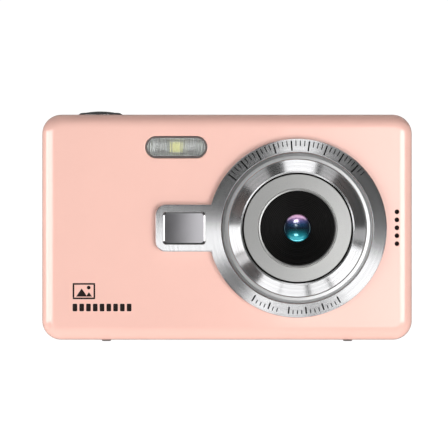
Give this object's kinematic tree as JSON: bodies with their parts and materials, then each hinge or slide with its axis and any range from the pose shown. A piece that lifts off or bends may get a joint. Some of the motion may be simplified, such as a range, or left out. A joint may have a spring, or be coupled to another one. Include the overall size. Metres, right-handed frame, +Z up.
{
  "type": "compact digital camera",
  "caption": "Slim compact digital camera with a round fixed lens, brushed ring and tab, flash, rear screen with a column of keys, and a hinged battery door.",
  "frame": {"origin": "middle of the footprint, on the surface that the feet stand on", "axes": "+X to the right seen from the front, -Y out of the lens, +Z up"},
  "size_m": [0.1, 0.0244, 0.0623],
  "materials": {
    "pink_casing": "pearl pink, smooth, satin gloss",
    "brushed_trim": "brushed round the lens axis",
    "satin_metal": "fine bead-blasted satin",
    "silver_keys": "silver paint, satin",
    "chrome_trim": "polished",
    "steel": "plain",
    "brass": "machined",
    "matt_black": "fine moulded texture",
    "flash_rim": "satin",
    "coated_glass": "polished and coated",
    "flash_plastic": "clear, finely fluted",
    "screen_glass": "polished black glass",
    "screen_panel": "satin",
    "led_phosphor": "satin, on a white board",
    "board_green": "solder mask",
    "chip_black": "moulded",
    "polyimide": "flexible film",
    "battery_wrap": "printed-free wrap, satin",
    "rubber_feet": "matt"
  },
  "bodies": {
    "housing": {"front_cover": "pink_casing", "rear_housing": "pink_casing", "chassis": "matt_black", "lens_ring_plate": "brushed_trim", "lens_cone_ring": "brushed_trim", "lens_step_ring": "satin_metal", "lens_face_ring": "satin_metal", "front_badge": "chrome_trim", "shutter_bezel": "chrome_trim", "flash_reflector": "chrome_trim", "lens_baffle": "matt_black", "lens_barrel": "matt_black", "lens_cell": "matt_black", "sensor_holder": "matt_black", "front_lens": "coated_glass", "middle_lens": "coated_glass", "rear_lens": "coated_glass", "ir_filter": "coated_glass", "image_sensor": "chip_black", "main_processor": "chip_black", "speaker": "chip_black", "memory_card": "chip_black", "flash_bezel": "flash_rim", "flash_window": "flash_plastic", "flash_led": "led_phosphor", "shutter_spring": "steel", "rocker_pin": "steel", "door_pin": "steel", "strap_pin": "steel", "microphone": "steel", "usb_socket": "steel", "card_slot": "steel", "screw_bottom_left": "steel", "screw_bottom_right": "steel", "screw_side_left": "steel", "screw_side_right": "steel", "switch_board": "board_green", "key_board": "board_green", "main_board": "board_green", "screen_window": "screen_glass", "screen_module": "screen_panel", "screen_ribbon": "polyimide", "battery": "battery_wrap", "battery_contacts": "brass", "tripod_bush": "brass", "foot_left": "rubber_feet", "foot_right": "rubber_feet"},
    "shutter_button": {"shutter_button": "chrome_trim"},
    "power_button": {"power_button": "chrome_trim"},
    "zoom_rocker": {"zoom_rocker": "silver_keys"},
    "mode_button": {"mode_button": "silver_keys"},
    "menu_button": {"menu_button": "silver_keys"},
    "nav_left_key": {"nav_left_key": "silver_keys"},
    "nav_up_key": {"nav_up_key": "silver_keys"},
    "nav_right_key": {"nav_right_key": "silver_keys"},
    "nav_down_key": {"nav_down_key": "silver_keys"},
    "ok_button": {"ok_button": "silver_keys"},
    "play_button": {"play_button": "silver_keys"},
    "delete_button": {"delete_button": "silver_keys"},
    "battery_door": {"battery_door": "pink_casing"}
  },
  "joints": [
    {"name": "shutter_press", "type": "slide", "parent": "housing", "child": "shutter_button", "axis": [0, 0, -1], "range_m": [0, 0.0006], "stiffness_N_per_m": 600, "deforming": ["shutter_spring"]},
    {"name": "power_press", "type": "slide", "parent": "housing", "child": "power_button", "axis": [0, 0, -1], "range_m": [0, 0.0004], "stiffness_N_per_m": 600},
    {"name": "zoom_rock", "type": "hinge", "parent": "housing", "child": "zoom_rocker", "pos_m": [-0.034, 0.009, 0.0526], "axis": [0, 0, 1], "range_deg": [-3.5, 3.5], "stiffness_Nm_per_rad": 0.02},
    {"name": "mode_press", "type": "slide", "parent": "housing", "child": "mode_button", "axis": [0, -1, 0], "range_m": [0, 0.0003], "stiffness_N_per_m": 600},
    {"name": "menu_press", "type": "slide", "parent": "housing", "child": "menu_button", "axis": [0, -1, 0], "range_m": [0, 0.0003], "stiffness_N_per_m": 600},
    {"name": "play_press", "type": "slide", "parent": "housing", "child": "play_button", "axis": [0, -1, 0], "range_m": [0, 0.0003], "stiffness_N_per_m": 600},
    {"name": "delete_press", "type": "slide", "parent": "housing", "child": "delete_button", "axis": [0, -1, 0], "range_m": [0, 0.0003], "stiffness_N_per_m": 600},
    {"name": "nav_left_press", "type": "slide", "parent": "housing", "child": "nav_left_key", "axis": [0, -1, 0], "range_m": [0, 0.0003], "stiffness_N_per_m": 600},
    {"name": "nav_up_press", "type": "slide", "parent": "housing", "child": "nav_up_key", "axis": [0, -1, 0], "range_m": [0, 0.0003], "stiffness_N_per_m": 600},
    {"name": "nav_right_press", "type": "slide", "parent": "housing", "child": "nav_right_key", "axis": [0, -1, 0], "range_m": [0, 0.0003], "stiffness_N_per_m": 600},
    {"name": "nav_down_press", "type": "slide", "parent": "housing", "child": "nav_down_key", "axis": [0, -1, 0], "range_m": [0, 0.0003], "stiffness_N_per_m": 600},
    {"name": "ok_press", "type": "slide", "parent": "housing", "child": "ok_button", "axis": [0, -1, 0], "range_m": [0, 0.0003], "stiffness_N_per_m": 600},
    {"name": "battery_door_hinge", "type": "hinge", "parent": "housing", "child": "battery_door", "pos_m": [0.00105, 0.0025, 0.00115], "axis": [0, -1, 0], "range_deg": [0, 90]}
  ]
}
